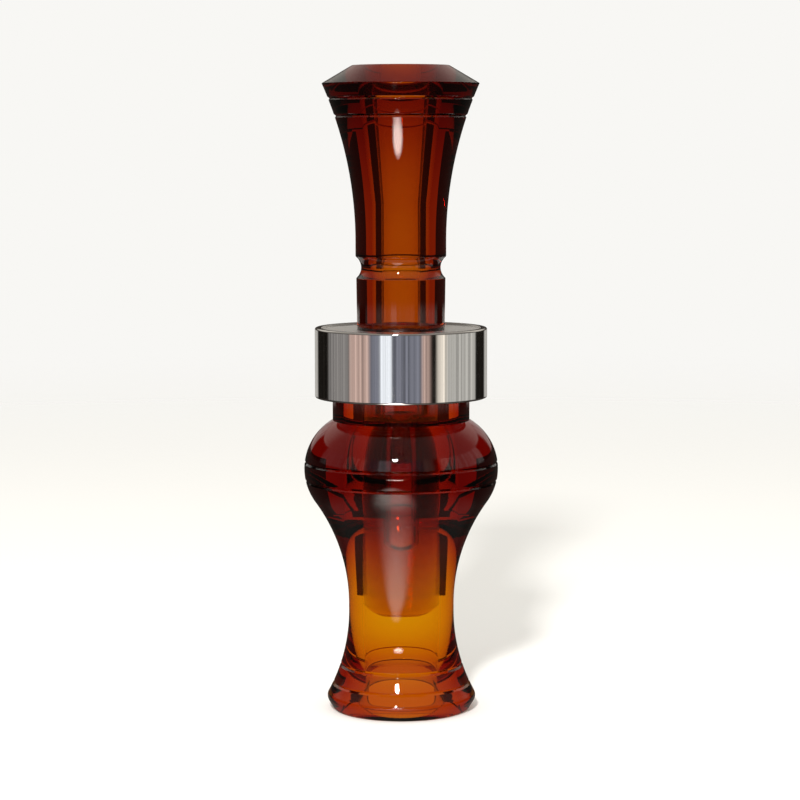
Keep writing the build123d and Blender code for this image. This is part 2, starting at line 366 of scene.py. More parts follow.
# Cast acrylic rod, dyed amber, turned and buffed: clear and wet-looking, golden where thin and
# red-brown where thick, with faint rings from the tool. The stem is left as it came off the tools.
acrylicSettings = {
    "bluePerMetre": 1250.0,  # how much of each colour one metre of the dyed rod takes away
    "redPerMetre": {"barrel": 62.0, "insert": 100.0},
    "greenPerMetre": {"barrel": 222.0, "insert": 282.0},
    "buffedRoughness": (0.0, 0.02),
    "machinedRoughness": 0.04,
    "ior": 1.49,
    "ringPitch": 0.5,  # real rings are about 0.1 mm apart, drawn coarser so that they show
    "ringHeight": 0.0015,
    "ringStrength": 0.6,
    "roundStretch": 0.02,  # how much slower the rings' pattern changes round the rod than along it
    "marksSize": 6.0,
}


def makeAcrylic(body, s, machinedBelow=None):
    material = bpy.data.materials.new("buffedAcrylic" + body.capitalize())
    tree = emptyTree(material)
    coords = addNode(tree, "ShaderNodeTexCoord")
    # rings left by the tool: the pattern changes fast along the axis and hardly round it
    rings = addNode(tree, "ShaderNodeMapping", inputs={
        "Vector": coords.outputs["Object"], "Scale": (s["roundStretch"], s["roundStretch"], 1)})
    ringNoise = addNode(tree, "ShaderNodeTexNoise", inputs={
        "Vector": rings.outputs[0], "Scale": 1 / (s["ringPitch"] * mm), "Detail": 2})
    # smears where the buffing wheel and fingers have been
    smears = addNode(tree, "ShaderNodeTexNoise", inputs={
        "Vector": coords.outputs["Object"], "Scale": 1 / (s["marksSize"] * mm), "Detail": 3})
    low, high = s["buffedRoughness"]
    rough = addNode(tree, "ShaderNodeMapRange", inputs={
        "Value": smears.outputs["Fac"], "From Min": 0.35, "From Max": 0.75, "To Min": low, "To Max": high})
    roughness = rough.outputs[0]
    if machinedBelow is not None:
        axes = addNode(tree, "ShaderNodeSeparateXYZ", inputs={0: coords.outputs["Object"]})
        machined = addNode(tree, "ShaderNodeMath", {"operation": "LESS_THAN"}, {
            0: axes.outputs["Z"], 1: machinedBelow})
        either = addNode(tree, "ShaderNodeMix", inputs={
            "Factor": machined.outputs[0], "A": roughness, "B": s["machinedRoughness"]})
        roughness = either.outputs["Result"]
    bump = addNode(tree, "ShaderNodeBump", inputs={
        "Height": ringNoise.outputs["Fac"], "Distance": s["ringHeight"] * mm, "Strength": s["ringStrength"]})
    surface = addNode(tree, "ShaderNodeBsdfPrincipled", inputs={
        "Base Color": (1, 1, 1, 1), "Transmission Weight": 1.0, "IOR": s["ior"],
        "Roughness": roughness, "Normal": bump.outputs[0]})
    # the colour is what is left of red and green where the blue is all gone
    kept = [1 - s[part][body] / s["bluePerMetre"] for part in ("redPerMetre", "greenPerMetre")]
    dye = addNode(tree, "ShaderNodeVolumeAbsorption", inputs={
        "Color": (kept[0], kept[1], 0, 1), "Density": s["bluePerMetre"]})
    addNode(tree, "ShaderNodeOutputMaterial", inputs={"Surface": surface.outputs[0], "Volume": dye.outputs[0]})
    return material


# Aluminium ring, turned then buffed to a mirror: sharp reflections drawn out by fine rings.
# Its recess keeps the tool's finish, so it is greyer there.
aluminiumSettings = {
    "colour": "#F1F1EF",
    "buffed": (0.03, 0.09),
    "turned": 0.34,
    "recessRadius": 16.4,
    "ringPitch": 0.22,  # the real rings are finer still, drawn coarser so that they show
    "ringHeight": 0.0006,
    "ringStrength": 0.5,
    "roundStretch": 0.03,
    "hazeSize": 4.1667,
}


def makeAluminium(s):
    material = bpy.data.materials.new("buffedAluminium")
    tree = emptyTree(material)
    coords = addNode(tree, "ShaderNodeTexCoord")
    rings = addNode(tree, "ShaderNodeMapping", inputs={
        "Vector": coords.outputs["Object"], "Scale": (s["roundStretch"], s["roundStretch"], 1)})
    ringNoise = addNode(tree, "ShaderNodeTexNoise", inputs={
        "Vector": rings.outputs[0], "Scale": 1 / (s["ringPitch"] * mm), "Detail": 3})
    haze = addNode(tree, "ShaderNodeTexNoise", inputs={
        "Vector": coords.outputs["Object"], "Scale": 1 / (s["hazeSize"] * mm), "Detail": 4})
    buffed = addNode(tree, "ShaderNodeMapRange", inputs={
        "Value": haze.outputs["Fac"], "From Min": 0.3, "From Max": 0.7,
        "To Min": s["buffed"][0], "To Max": s["buffed"][1]})
    # distance from the axis tells the recess from the rest
    flat = addNode(tree, "ShaderNodeVectorMath", {"operation": "MULTIPLY"}, {
        0: coords.outputs["Object"], 1: (1, 1, 0)})
    radius = addNode(tree, "ShaderNodeVectorMath", {"operation": "LENGTH"}, {0: flat.outputs[0]})
    inside = addNode(tree, "ShaderNodeMath", {"operation": "LESS_THAN"},
                     {0: radius.outputs["Value"], 1: s["recessRadius"] * mm})
    roughness = addNode(tree, "ShaderNodeMix", inputs={
        "Factor": inside.outputs[0], "A": buffed.outputs[0], "B": s["turned"]})
    bump = addNode(tree, "ShaderNodeBump", inputs={
        "Height": ringNoise.outputs["Fac"], "Distance": s["ringHeight"] * mm, "Strength": s["ringStrength"]})
    surface = addNode(tree, "ShaderNodeBsdfPrincipled", inputs={
        "Base Color": hexColour(s["colour"]), "Metallic": 1.0,
        "Roughness": roughness.outputs["Result"], "Normal": bump.outputs[0]})
    addNode(tree, "ShaderNodeOutputMaterial", inputs={"Surface": surface.outputs[0]})
    return material


# Polyester film, lightly frosted on the roll and die cut: lets light through with a thin milky gloss.
# Its true refraction is near 1.6; the lower figure keeps two sheets on the board from darkening it.
filmSettings = {
    "colour": "#F4F5F2",
    "ior": 1.22,
    "roughness": (0.03, 0.09),
    "grain": 0.18,  # the frosting is finer than this, drawn coarser so that it shows
    "grainHeight": 0.001,
    "grainStrength": 0.6,
}


def makeFilm(s):
    material = bpy.data.materials.new("frostedPolyesterFilm")
    tree = emptyTree(material)
    coords = addNode(tree, "ShaderNodeTexCoord")
    grain = addNode(tree, "ShaderNodeTexNoise", inputs={
        "Vector": coords.outputs["Object"], "Scale": 1 / (s["grain"] * mm), "Detail": 3})
    rough = addNode(tree, "ShaderNodeMapRange", inputs={
        "Value": grain.outputs["Fac"], "From Min": 0.3, "From Max": 0.7,
        "To Min": s["roughness"][0], "To Max": s["roughness"][1]})
    bump = addNode(tree, "ShaderNodeBump", inputs={
        "Height": grain.outputs["Fac"], "Distance": s["grainHeight"] * mm, "Strength": s["grainStrength"]})
    surface = addNode(tree, "ShaderNodeBsdfPrincipled", inputs={
        "Base Color": hexColour(s["colour"]), "Transmission Weight": 1.0, "IOR": s["ior"],
        "Roughness": rough.outputs[0], "Normal": bump.outputs[0]})
    addNode(tree, "ShaderNodeOutputMaterial", inputs={"Surface": surface.outputs[0]})
    return material


# Natural cork, cut with a blade: matt tan, mottled, with dark pores.
corkSettings = {
    "pale": "#EBCB9E", "dark": "#CB9A66", "pore": "#4A2C18",
    "grain": 0.9, "grainDepth": 0.12, "pores": 0.7, "poreLine": (0.64, 0.7),
    "roughness": 0.86,
}


def makeCork(s):
    material = bpy.data.materials.new("cutCork")
    tree = emptyTree(material)
    coords = addNode(tree, "ShaderNodeTexCoord")
    grain = addNode(tree, "ShaderNodeTexNoise", inputs={
        "Vector": coords.outputs["Object"], "Scale": 1 / (s["grain"] * mm), "Detail": 5, "Roughness": 0.65})
    mottle = addNode(tree, "ShaderNodeMapRange", inputs={
        "Value": grain.outputs["Fac"], "From Min": 0.38, "From Max": 0.62})
    body = addNode(tree, "ShaderNodeMix", {"data_type": "RGBA"}, {
        "Factor": mottle.outputs[0], "A": hexColour(s["dark"]), "B": hexColour(s["pale"])})
    # pores lie across the wedge
    stretched = addNode(tree, "ShaderNodeMapping", inputs={
        "Vector": coords.outputs["Object"], "Scale": (0.5, 1, 1.6)})
    cells = addNode(tree, "ShaderNodeTexNoise", inputs={
        "Vector": stretched.outputs[0], "Scale": 1 / (s["pores"] * mm), "Detail": 2})
    pore = addNode(tree, "ShaderNodeMapRange", inputs={
        "Value": cells.outputs["Fac"], "From Min": s["poreLine"][0], "From Max": s["poreLine"][1]})
    colour = addNode(tree, "ShaderNodeMix", {"data_type": "RGBA"}, {
        "Factor": pore.outputs[0], "A": body.outputs["Result"], "B": hexColour(s["pore"])})
    bump = addNode(tree, "ShaderNodeBump", inputs={
        "Height": grain.outputs["Fac"], "Distance": s["grainDepth"] * mm, "Strength": 0.7})
    surface = addNode(tree, "ShaderNodeBsdfPrincipled", inputs={
        "Base Color": colour.outputs["Result"], "Roughness": s["roughness"], "Normal": bump.outputs[0]})
    addNode(tree, "ShaderNodeOutputMaterial", inputs={"Surface": surface.outputs[0]})
    return material


# Nitrile rubber, moulded: near black, soft gloss, dusty in patches.
rubberSettings = {
    "colour": "#171615", "dust": "#34302C", "roughness": (0.38, 0.6), "patch": 1.6, "patchHeight": 0.01,
}


def makeRubber(s):
    material = bpy.data.materials.new("mouldedNitrile")
    tree = emptyTree(material)
    coords = addNode(tree, "ShaderNodeTexCoord")
    patch = addNode(tree, "ShaderNodeTexNoise", inputs={
        "Vector": coords.outputs["Object"], "Scale": 1 / (s["patch"] * mm), "Detail": 4})
    colour = addNode(tree, "ShaderNodeMix", {"data_type": "RGBA"}, {
        "Factor": patch.outputs["Fac"], "A": hexColour(s["colour"]), "B": hexColour(s["dust"])})
    rough = addNode(tree, "ShaderNodeMapRange", inputs={
        "Value": patch.outputs["Fac"], "From Min": 0.3, "From Max": 0.7,
        "To Min": s["roughness"][0], "To Max": s["roughness"][1]})
    bump = addNode(tree, "ShaderNodeBump", inputs={
        "Height": patch.outputs["Fac"], "Distance": s["patchHeight"] * mm, "Strength": 0.5})
    surface = addNode(tree, "ShaderNodeBsdfPrincipled", inputs={
        "Base Color": colour.outputs["Result"], "Roughness": rough.outputs[0], "Normal": bump.outputs[0]})
    addNode(tree, "ShaderNodeOutputMaterial", inputs={"Surface": surface.outputs[0]})
    return material


# profiles are lists of points (distance from the axis, height), going up the outside
def arcPoints(centre, radius, start, end, step=1.5):
    # angles in degrees, 0 pointing away from the axis
    count = max(2, math.ceil(abs(end - start) / step))
    points = []
    for i in range(count + 1):
        angle = math.radians(start + (end - start) * i / count)
        points.append(Vector((centre[0] + radius * math.cos(angle), centre[1] + radius * math.sin(angle))))
    return points


def sweepPoints(foot, end, count=28):
    # hollow arc that stands upright at its foot and reaches the end point
    rise, run = abs(end[1] - foot[1]), end[0] - foot[0]
    radius = (rise ** 2 + run ** 2) / (2 * run)
    spread = math.asin(rise / radius)
    way = 1 if end[1] > foot[1] else -1
    points = []
    for i in range(count + 1):
        angle = spread * i / count
        points.append(Vector((
            foot[0] + radius * (1 - math.cos(angle)), foot[1] + way * radius * math.sin(angle))))
    return points


def walk(points, distance):
    # the point that far along a run of points, its direction, and how many points it passed
    passed = 0
    while passed < len(points) - 2 and (points[passed + 1] - points[passed]).length < distance:
        distance -= (points[passed + 1] - points[passed]).length
        passed += 1
    direction = (points[passed + 1] - points[passed]).normalized()
    return points[passed] + direction * distance, direction, passed


def nearest(points, target):
    best = None
    for i in range(len(points) - 1):
        start, along = points[i], points[i + 1] - points[i]
        share = min(max((target - start).dot(along) / along.length_squared, 0), 1)
        spot = start + along * share
        if best is None or (target - spot).length < best[0]:
            best = ((target - spot).length, spot, i)
    return best


def roundCorner(path, corner, radius, steps=5):
    # replaces the point at index corner with an arc that touches both sides
    backward, forward = path[corner::-1], path[corner:]
    inward = (path[corner] - path[corner - 1]).normalized()
    outward = (path[corner + 1] - path[corner]).normalized()
    side = 1 if inward.cross(outward) > 0 else -1
    # halve the gap until the arc's centre is one radius from both sides
    low, high = 0.0, 12 * radius
    nearForward = forward[:60]  # far enough along the path for any of these arcs
    for _ in range(40):
        middle = (low + high) / 2
        spot, direction, passed = walk(backward, middle)
        centre = spot + Vector((direction.y, -direction.x)) * side * radius
        if nearest(nearForward, centre)[0] < radius:
            low = middle
        else:
            high = middle
    _, touch, ahead = nearest(nearForward, centre)
    first, last = spot - centre, touch - centre
    turn = first.angle_signed(last)
    arc = []
    for i in range(steps + 1):
        angle = math.atan2(first.y, first.x) - turn * i / steps
        arc.append(centre + Vector((math.cos(angle), math.sin(angle))) * radius)
    # a point just past each end of the arc keeps a long wall beyond it from being shaded as a curve
    before, after, hold = path[:corner - passed], path[corner + ahead + 1:], radius / 5
    if (arc[0] - before[-1]).length > 4 * hold:
        before.append(arc[0] + (before[-1] - arc[0]).normalized() * hold)
    if (arc[-1] - after[0]).length > 4 * hold:
        after.insert(0, arc[-1] + (after[0] - arc[-1]).normalized() * hold)
    return before + arc + after


def cutV(path, height, depth, halfWidth, soft):
    # a V cut round the outside; the path has to be climbing there
    def crossing(level):
        for i in range(len(path) - 1):
            a, b = path[i], path[i + 1]
            if a.y < level <= b.y:
                return i, a.lerp(b, (level - a.y) / (b.y - a.y))

    below, lowPoint = crossing(height - halfWidth)
    above, highPoint = crossing(height + halfWidth)
    floor = crossing(height)[1] - Vector((depth, 0))
    cut = path[:below + 1] + [lowPoint, floor, highPoint] + path[above + 1:]
    for corner in (below + 3, below + 2, below + 1):
        cut = roundCorner(cut, corner, soft, 3)
    return cut


# the lathe: geometry nodes turn a profile into a closed body
def makeLathe():
    tree = bpy.data.node_groups.new("lathe", "GeometryNodeTree")
    for name, kind in (("Profile", "Geometry"), ("Steps Around", "Int"), ("Crease Angle", "Float"),
                       ("Merge Distance", "Float"), ("Finish", "Material")):
        tree.interface.new_socket(name, in_out="INPUT", socket_type="NodeSocket" + kind)
    tree.interface.new_socket("Body", in_out="OUTPUT", socket_type="NodeSocketGeometry")
    given = addNode(tree, "NodeGroupInput").outputs
    size = addNode(tree, "GeometryNodeAttributeDomainSize", {"component": "MESH"}, {0: given["Profile"]})
    around = addNode(tree, "ShaderNodeMath", {"operation": "ADD"}, {0: given["Steps Around"], 1: 1.0})
    grid = addNode(tree, "GeometryNodeMeshGrid", inputs={
        "Vertices X": size.outputs["Point Count"], "Vertices Y": around.outputs[0]})
    # each grid row takes its place from one point of the profile, each column is one step round
    index = addNode(tree, "GeometryNodeInputIndex")
    share = addNode(tree, "ShaderNodeMath", {"operation": "DIVIDE"}, {
        0: index.outputs[0], 1: around.outputs[0]})
    row = addNode(tree, "ShaderNodeMath", {"operation": "FLOOR"}, {0: share.outputs[0]})
    column = addNode(tree, "ShaderNodeMath", {"operation": "MODULO"}, {
        0: index.outputs[0], 1: around.outputs[0]})
    position = addNode(tree, "GeometryNodeInputPosition")
    sample = addNode(tree, "GeometryNodeSampleIndex", {"data_type": "FLOAT_VECTOR", "domain": "POINT"}, {
        "Geometry": given["Profile"], "Value": position.outputs[0], "Index": row.outputs[0]})
    part = addNode(tree, "ShaderNodeSeparateXYZ", inputs={0: sample.outputs[0]})
    turn = addNode(tree, "ShaderNodeMath", {"operation": "DIVIDE"}, {
        0: column.outputs[0], 1: given["Steps Around"]})
    angle = addNode(tree, "ShaderNodeMath", {"operation": "MULTIPLY"}, {0: turn.outputs[0], 1: 2 * math.pi})
    place = addNode(tree, "ShaderNodeCombineXYZ", inputs={"Z": part.outputs["Z"]})
    for axis, operation in (("X", "COSINE"), ("Y", "SINE")):
        wave = addNode(tree, "ShaderNodeMath", {"operation": operation}, {0: angle.outputs[0]})
        reach = addNode(tree, "ShaderNodeMath", {"operation": "MULTIPLY"}, {
            0: wave.outputs[0], 1: part.outputs["X"]})
        tree.links.new(reach.outputs[0], place.inputs[axis])
    turned = addNode(tree, "GeometryNodeSetPosition", inputs={
        "Geometry": grid.outputs["Mesh"], "Position": place.outputs[0]})
    merged = addNode(tree, "GeometryNodeMergeByDistance", inputs={
        "Geometry": turned.outputs[0], "Distance": given["Merge Distance"]})
    smooth = addNode(tree, "GeometryNodeSetShadeSmooth", {"domain": "FACE"}, {0: merged.outputs[0]})
    edge = addNode(tree, "GeometryNodeInputMeshEdgeAngle")
    crease = addNode(tree, "FunctionNodeCompare", {"operation": "GREATER_THAN"}, {
        0: edge.outputs[0], 1: given["Crease Angle"]})
    sharp = addNode(tree, "GeometryNodeSetShadeSmooth", {"domain": "EDGE"}, {
        0: smooth.outputs[0], "Selection": crease.outputs[0], "Shade Smooth": False})
    whole = addNode(tree, "GeometryNodeRealizeInstances", inputs={0: sharp.outputs[0]})
    finish = addNode(tree, "GeometryNodeSetMaterial", inputs={0: whole.outputs[0], "Material": given["Finish"]})
    addNode(tree, "NodeGroupOutput", inputs={0: finish.outputs[0]})
    return tree


latheTree = makeLathe()
creaseAngle = 28  # degrees: turned edges sharper than this stay crisp


def evaluatedMesh(source, name):
    graph = bpy.context.evaluated_depsgraph_get()
    mesh = bpy.data.meshes.new_from_object(source.evaluated_get(graph))
    mesh.name = name
    return mesh


def turnBody(name, profile, stepsAround, finish):
    count = len(profile)
    mesh = bpy.data.meshes.new(name + "Profile")
    mesh.from_pydata([(p.x * mm, 0, p.y * mm) for p in profile], [(i, i + 1) for i in range(count - 1)], [])
    blank = addObject(name + "Blank", mesh)
    modifier = blank.modifiers.new("lathe", "NODES")
    modifier.node_group = latheTree
    values = {"Steps Around": stepsAround, "Crease Angle": math.radians(creaseAngle),
              "Merge Distance": 0.001 * mm, "Finish": finish}
    for item in latheTree.interface.items_tree:
        if item.in_out == "INPUT" and item.name in values:
            modifier[item.identifier] = values[item.name]
    turned = evaluatedMesh(blank, name)
    turned.materials.clear()
    turned.materials.append(finish)
    body = addObject(name, turned)
    bpy.data.objects.remove(blank)
    faceOutwards(body.data)
    return body


def faceOutwards(mesh):
    shape = bmesh.new()
    shape.from_mesh(mesh)
    bmesh.ops.recalc_face_normals(shape, faces=shape.faces)
    shape.to_mesh(mesh)
    shape.free()


# barrel: flared base, waist, bulb, and the neck that goes up inside the band
barrelSettings = {
    "boreRadius": 15.875 / 2, "bellHeight": 4.8, "bellRadius": 10.5,
    "baseRadius": 14.0, "baseRound": 1.0,
    "rimRadius": 15.62, "rimHeight": 2.7, "rimRound": 1.6,
    "waistRadius": 10.86, "waistLow": 20.5, "waistHigh": 21.9,
    "bulbRadius": 20.0, "bulbHeight": 50.2, "bulbCurve": 11.5,
    "neckRadius": 14.1, "neckHeight": 60.32,
    "top": 77.9,
    "edgeRound": 0.4, "crispRound": 0.12,
    "cuts": (5.5, 9.3, 47.75, 51.6),
    "cutDepth": 0.32, "cutHalfWidth": 0.36, "cutSoft": 0.05,
    "stepsAround": 192,
}


def barrelProfile(s):
    waistFoot, waistTop = (s["waistRadius"], s["waistLow"]), (s["waistRadius"], s["waistHigh"])
    flare = sweepPoints(waistFoot, (s["rimRadius"], s["rimHeight"]))[::-1]
    # hollow sweep from the waist, tangent to the round under the bulb
    rise, reach = s["bulbHeight"] - s["waistHigh"], s["bulbRadius"] - s["waistRadius"]
    sweep = (rise ** 2 + reach ** 2) / (2 * reach) - s["bulbCurve"]
    underCentre = (s["bulbRadius"] - s["bulbCurve"], s["bulbHeight"])
    lean = math.degrees(math.atan2(rise, s["waistRadius"] + sweep - underCentre[0]))
    hollow = arcPoints((s["waistRadius"] + sweep, s["waistHigh"]), sweep, 180, 180 - lean)
    under = arcPoints(underCentre, s["bulbCurve"], -lean, 0)
    rise, reach = s["neckHeight"] - s["bulbHeight"], s["bulbRadius"] - s["neckRadius"]
    overRadius = (rise ** 2 + reach ** 2) / (2 * reach)
    over = arcPoints((s["bulbRadius"] - overRadius, s["bulbHeight"]), overRadius, 0,
                     math.degrees(math.asin(rise / overRadius)))
    start = Vector((s["boreRadius"], s["top"] / 2))
    bell = sweepPoints((s["boreRadius"], s["bellHeight"]), (s["bellRadius"], 0), 16)
    path = [start] + bell + [Vector((s["baseRadius"], 0))] + flare
    path += [Vector(waistTop)] + hollow[1:] + under[1:] + over[1:]
    path += [Vector((s["neckRadius"], s["top"])), Vector((s["boreRadius"], s["top"])), start]
    last = len(path) - 1
    path = roundCorner(path, last - 1, s["crispRound"], 3)
    path = roundCorner(path, last - 2, s["crispRound"], 3)
    for height in reversed(s["cuts"]):
        path = cutV(path, height, s["cutDepth"], s["cutHalfWidth"], s["cutSoft"])
    mouth = len(bell)
    path = roundCorner(path, mouth + 2, s["rimRound"], 14)
    path = roundCorner(path, mouth + 1, s["baseRound"], 8)
    return roundCorner(path, mouth, s["edgeRound"], 6)


# band: a thick ring whose top closes in over the barrel's end
bandSettings = {
    "glueRadius": 14.12, "radius": 17.72, "bottom": 65.0, "top": 79.4,
    "recessRadius": 16.5, "recessDepth": 0.5, "lipBore": 8.3, "lipBottom": 77.9,
    "edgeRound": 0.4, "crispRound": 0.08,
    "stepsAround": 192,
}


def bandProfile(s):
    floor = s["top"] - s["recessDepth"]
    corners = [
        (s["glueRadius"], s["bottom"]), (s["radius"], s["bottom"]), (s["radius"], s["top"]),
        (s["recessRadius"], s["top"]), (s["recessRadius"], floor), (s["lipBore"], floor),
        (s["lipBore"], s["lipBottom"]), (s["glueRadius"], s["lipBottom"]),
    ]
    start = Vector((s["glueRadius"], (s["bottom"] + s["lipBottom"]) / 2))
    path = [start] + [Vector(c) for c in corners] + [start]
    for corner in range(len(corners), 0, -1):
        outer = corners[corner - 1][0] == s["radius"]
        path = roundCorner(path, corner, s["edgeRound"] if outer else s["crispRound"], 8 if outer else 3)
    return path


# insert: horn, lanyard groove, sleeve, and the stem that ends in the tone board
insertSettings = {
    "tip": 20.6, "stemRadius": 7.87, "shoulder": 78.9,
    "ringGrooves": (68.2, 74.2), "grooveFloor": 6.6, "grooveHalf": 1.05,
    "sleeveLow": 9.0, "sleeveHigh": 9.15,
    "lanyardHeight": 91.7, "lanyardCentre": 11.0, "lanyardCurve": 2.85, "lanyardRound": 0.3,
    "hornFoot": 97.0, "hornFootRadius": 9.3, "rimRadius": 16.1, "rimHeight": 129.2,
    "flatRadius": 9.9, "top": 132.85, "topRound": 0.8,
    "cuts": (122.6, 126.15), "cutDepth": 0.32, "cutHalfWidth": 0.36, "cutSoft": 0.05,
    "throatRadius": 3.97, "throatBottom": 62.0, "drillHalfAngle": 59, "flare": 105.0, "mouthRadius": 6.1,
    "crispRound": 0.1,
    "boardFace": -1.0, "boardFlatEnd": 44.0, "boardTipFace": -3.6,
    "notchBack": 60.0, "notchMouth": 51.0, "notchBackDepth": 2.3, "notchMouthDepth": 4.6, "stemFace": 53.5,
    "tipFlat": 2.5, "channelRadius": 2.6, "channelFace": -1.5, "channelEnd": 37.8,
    "stepsAround": 192,
}


def insertProfile(s):
    path = [Vector((0, s["tip"])), Vector((s["stemRadius"], s["tip"]))]
    soft = {1: s["crispRound"]}
    for height in s["ringGrooves"]:
        low, high = height - s["grooveHalf"], height + s["grooveHalf"]
        path += [Vector((r, z)) for r, z in (
            (s["stemRadius"], low), (s["grooveFloor"], low), (s["grooveFloor"], high), (s["stemRadius"], high))]
    path += [Vector((s["stemRadius"], s["shoulder"])), Vector((s["sleeveLow"], s["shoulder"]))]
    soft[len(path) - 1] = s["crispRound"]
    # the lanyard groove is part of a circle, met by the sleeve below and the horn's foot above
    centre = (s["lanyardCentre"], s["lanyardHeight"])
    lowSide = math.degrees(math.acos((centre[0] - s["sleeveHigh"]) / s["lanyardCurve"]))
    highSide = math.degrees(math.acos((centre[0] - s["hornFootRadius"]) / s["lanyardCurve"]))
    groove = arcPoints(centre, s["lanyardCurve"], 180 + lowSide, 180 - highSide, 4)
    soft[len(path)] = s["lanyardRound"]
    path += groove
    soft[len(path) - 1] = s["lanyardRound"]
    horn = sweepPoints((s["hornFootRadius"], s["hornFoot"]), (s["rimRadius"], s["rimHeight"]), 40)
    path += horn
    soft[len(path) - 1] = s["crispRound"]
    path.append(Vector((s["flatRadius"], s["top"])))
    soft[len(path) - 1] = s["topRound"]
    path.append(Vector((s["mouthRadius"], s["top"])))
    soft[len(path) - 1] = s["topRound"]
    drillTip = s["throatBottom"] - s["throatRadius"] / math.tan(math.radians(s["drillHalfAngle"]))
    path += [Vector((s["throatRadius"], s["flare"])), Vector((s["throatRadius"], s["throatBottom"])),
             Vector((0, drillTip))]
    for corner in sorted(soft, reverse=True):
        steps = 8 if soft[corner] > 0.5 else 4
        path = roundCorner(path, corner, soft[corner], steps)
    for height in reversed(s["cuts"]):
        path = cutV(path, height, s["cutDepth"], s["cutHalfWidth"], s["cutSoft"])
    return path


def prism(name, outline, axis, half):
    # closed prism: outline points lie across the axis, which is "X" or "Y"
    mesh = bpy.data.meshes.new(name)
    shape = bmesh.new()
    rings = []
    for side in (-half, half):
        spots = [(side, a, z) if axis == "X" else (a, side, z) for a, z in outline]
        rings.append([shape.verts.new(Vector(spot) * mm) for spot in spots])
    count = len(outline)
    shape.faces.new(rings[0])
    shape.faces.new(rings[1][::-1])
    for i in range(count):
        k = (i + 1) % count
        shape.faces.new((rings[0][i], rings[0][k], rings[1][k], rings[1][i]))
    bmesh.ops.recalc_face_normals(shape, faces=shape.faces)
    shape.to_mesh(mesh)
    shape.free()
    return addObject(name, mesh)


def boardCutters(s):
    clear = s["stemRadius"] + 1
    below = s["tip"] - 1
    # board face: flat, then curving away to the tip; above it the undercut notch
    drop, run = s["boardFlatEnd"] - s["tip"], s["boardFace"] - s["boardTipFace"]
    radius = (drop ** 2 + run ** 2) / (2 * run)
    spread = math.asin(drop / radius)
    face = []
    for i in range(25):
        angle = spread * i / 24
        face.append((
            s["boardFace"] - radius * (1 - math.cos(angle)), s["boardFlatEnd"] - radius * math.sin(angle)))
    outline = face + [
        (s["boardTipFace"], below), (clear, below), (clear, s["stemFace"]),
        (s["boardFace"] + s["notchMouthDepth"], s["notchMouth"]),
        (s["boardFace"] + s["notchBackDepth"], s["notchBack"]), (s["boardFace"], s["notchBack"]),
    ]
    cutters = [prism("boardCutter", outline, "X", clear)]
    # quarter rounds at the tip
    corner = s["stemRadius"] - s["tipFlat"]
    for side in (-1, 1):
        quarter = arcPoints((s["tipFlat"], s["tip"] + corner), corner, -90, 0, 6)
        outline = [(side * p.x, p.y) for p in quarter] + [
            (side * clear, s["tip"] + corner), (side * clear, below), (side * s["tipFlat"], below)]
        cutters.append(prism("tipCutter", outline, "Y", clear))
    # tone channel: a ball-ended slot
    ball = arcPoints((0, s["channelEnd"]), s["channelRadius"], -90, 0, 7)
    ball.append(Vector((s["channelRadius"], s["throatBottom"] + 0.3)))
    ball.append(Vector((0, s["throatBottom"] + 0.3)))
    channel = turnBody("channelCutter", ball, 48, None)
    for vertex in channel.data.vertices:
        vertex.co.y += s["channelFace"] * mm
    return cutters + [channel]


def makeInsert(s, finish):
    body = turnBody("insertBody", insertProfile(s), s["stepsAround"], finish)
    cutters = boardCutters(s)
    for cutter in cutters:
        cut = body.modifiers.new(cutter.name, "BOOLEAN")
        cut.operation, cut.solver, cut.object = "DIFFERENCE", "EXACT", cutter
    mesh = evaluatedMesh(body, "insertTurned")
    for spare in [body] + cutters:
        bpy.data.objects.remove(spare)
    mesh.materials.clear()
    mesh.materials.append(finish)
    mesh.shade_smooth()
    mesh.set_sharp_from_angle(angle=math.radians(creaseAngle))
    return addObject("insertTurned", mesh)


# reeds: two strips of film, the short one over the long one with a pressed dimple between
reedSettings = {
    "reed_long": {"tip": 21.0, "face": -1.0, "thick": 0.35, "dimple": None},
    "reed_short": {"tip": 23.6, "face": -0.62, "thick": 0.25, "dimple": 40.0},
}
reedCut = {
    "halfWidth": 6.5, "tipRound": 4.8, "top": 59.97,
    "row": 0.5, "closeRow": 0.175,  # spacing of the rows, and round the tip
    "columns": 16,
    "dimpleRadius": 1.15, "dimpleHeight": 0.22,
    "bendFrom": 44.0, "bendTo": 21.0,
    "crease": 40,
}


